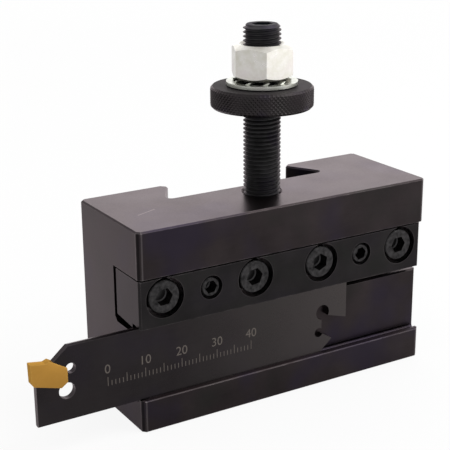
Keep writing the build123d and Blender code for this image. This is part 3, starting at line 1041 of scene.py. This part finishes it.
class HOLDER_OT_stage(bpy.types.Operator):
    """Set the floor, the light and the camera"""

    bl_idname = "holder.stage"
    bl_label = "Set the stage"

    def execute(self, context):
        stage = context.scene.holder_stage
        self.lay_floor(stage)
        self.light_world(context, stage)
        self.hang_lamp("lamp_back", place=(0.55, 0.92, 0.42), size=1.1, power=3.0)
        self.hang_lamp("lamp_right", place=(0.9, -0.75, 0.22), size=0.5, power=3.4)
        self.hang_lamp("lamp_above", place=(0.32, -0.22, 0.62), size=0.5, power=2.2)
        self.set_camera(context, stage)
        context.scene.view_settings.view_transform = "Standard"
        return {"FINISHED"}

    @staticmethod
    def lay_floor(stage):
        """A wide pale floor under the block."""
        bm = bmesh.new()
        bmesh.ops.create_circle(bm, cap_ends=True, segments=96, radius=4.0)
        bmesh.ops.translate(bm, verts=bm.verts, vec=(0, 0, BLOCK_LOW.z - 0.05 * MM))
        mesh = bpy.data.meshes.new("floor")
        bm.to_mesh(mesh)
        bm.free()
        material, wire = new_material("pale_floor")
        grain = wire.noise(object_place(wire), 40.0)
        greyer = (0.86, 0.86, 0.86)
        skin = wire.mix(grain * 0.02, colour(stage.floor_colour), colour(greyer))
        values = {"Base Color": skin, "Roughness": 0.9, "Specular IOR Level": 0.1}
        lit = wire.add("ShaderNodeBsdfPrincipled", None, values)
        white = wire.add("ShaderNodeEmission", None, {"Color": colour([1, 1, 1]), "Strength": 1.0})
        whitened = seen_directly(wire, mirrored=0.25) * stage.whitening
        finish_material(wire, wire.add("ShaderNodeMixShader", None, {0: whitened, 1: lit, 2: white}))
        mesh.materials.append(material)
        floor = bpy.data.objects.new("floor", mesh)
        bpy.context.scene.collection.objects.link(floor)

    @staticmethod
    def light_world(context, stage):
        """White as the camera and reflections see it, softer as light."""
        world = bpy.data.worlds.new("studio")
        world.use_nodes = True
        world.node_tree.nodes.clear()
        wire = Wire(world.node_tree)
        seen = seen_directly(wire)
        strength = seen + (1 - seen) * stage.sky
        values = {"Color": colour([1, 1, 1]), "Strength": strength}
        light = wire.add("ShaderNodeBackground", None, values)
        wire.add("ShaderNodeOutputWorld", None, {"Surface": light})
        context.scene.world = world

    @staticmethod
    def hang_lamp(name, place, size, power):
        """A soft square lamp aimed at the holder."""
        lamp = bpy.data.lights.new(name, "AREA")
        lamp.shape = "SQUARE"
        lamp.size = size
        lamp.energy = power
        stand = bpy.data.objects.new(name, lamp)
        stand.location = place
        middle = Vector((0, 0, 40 * MM))
        stand.rotation_euler = (middle - Vector(place)).to_track_quat("-Z", "Y").to_euler()
        bpy.context.scene.collection.objects.link(stand)

    @staticmethod
    def set_camera(context, stage):
        """The camera at the photograph's viewing angle."""
        az, el = stage.azimuth, stage.elevation
        forward = Vector((sin(az) * cos(el), cos(az) * cos(el), -sin(el)))
        right = Vector((cos(az), -sin(az), 0))
        up = right.cross(forward)
        turned_right = cos(stage.roll) * right + sin(stage.roll) * up
        turned_up = -sin(stage.roll) * right + cos(stage.roll) * up
        data = bpy.data.cameras.new("camera")
        data.lens = stage.lens
        data.sensor_width = 36
        data.clip_start = 0.01
        camera = bpy.data.objects.new("camera", data)
        bpy.context.scene.collection.objects.link(camera)
        turn = Matrix((turned_right, turned_up, -forward)).transposed().to_4x4()
        camera.matrix_world = Matrix.Translation(Vector(stage.place)) @ turn
        context.scene.camera = camera


OPERATORS = (
    HOLDER_OT_stage,
    HOLDER_OT_block,
    HOLDER_OT_clamp,
    HOLDER_OT_screws,
    HOLDER_OT_stud,
    HOLDER_OT_height_nut,
    HOLDER_OT_lock_nut,
    HOLDER_OT_washer,
    HOLDER_OT_blade,
    HOLDER_OT_insert,
    HOLDER_OT_scale,
)
SETTINGS = {
    "holder_stud": StudSettings,
    "holder_nut": NutSettings,
    "holder_lock_nut": LockNutSettings,
    "holder_scale": ScaleSettings,
    "holder_finishes": FinishSettings,
    "holder_stage": StageSettings,
}


class HOLDER_PT_panel(bpy.types.Panel):
    """Lists the settings and the steps of the tool holder."""

    bl_idname = "HOLDER_PT_panel"
    bl_label = "Tool holder"
    bl_space_type = "VIEW_3D"
    bl_region_type = "UI"
    bl_category = "Tool holder"

    def draw(self, context):
        for name, settings in SETTINGS.items():
            box = self.layout.box()
            box.label(text=settings.__doc__)
            for field in settings.__annotations__:
                box.prop(getattr(context.scene, name), field)
        for operator in OPERATORS:
            self.layout.operator(operator.bl_idname)


def register():
    for settings in SETTINGS.values():
        bpy.utils.register_class(settings)
    for name, settings in SETTINGS.items():
        setattr(bpy.types.Scene, name, PointerProperty(type=settings))
    for operator in OPERATORS:
        bpy.utils.register_class(operator)
    bpy.utils.register_class(HOLDER_PT_panel)


def unregister():
    bpy.utils.unregister_class(HOLDER_PT_panel)
    for operator in reversed(OPERATORS):
        bpy.utils.unregister_class(operator)
    for name in SETTINGS:
        delattr(bpy.types.Scene, name)
    for settings in SETTINGS.values():
        bpy.utils.unregister_class(settings)


def main():
    """Build everything in order."""
    register()
    for operator in OPERATORS:
        group, step = operator.bl_idname.split(".")
        if getattr(getattr(bpy.ops, group), step)() != {"FINISHED"}:
            raise RuntimeError(f"{operator.bl_label} didn't finish")


if __name__ == "__main__":
    main()
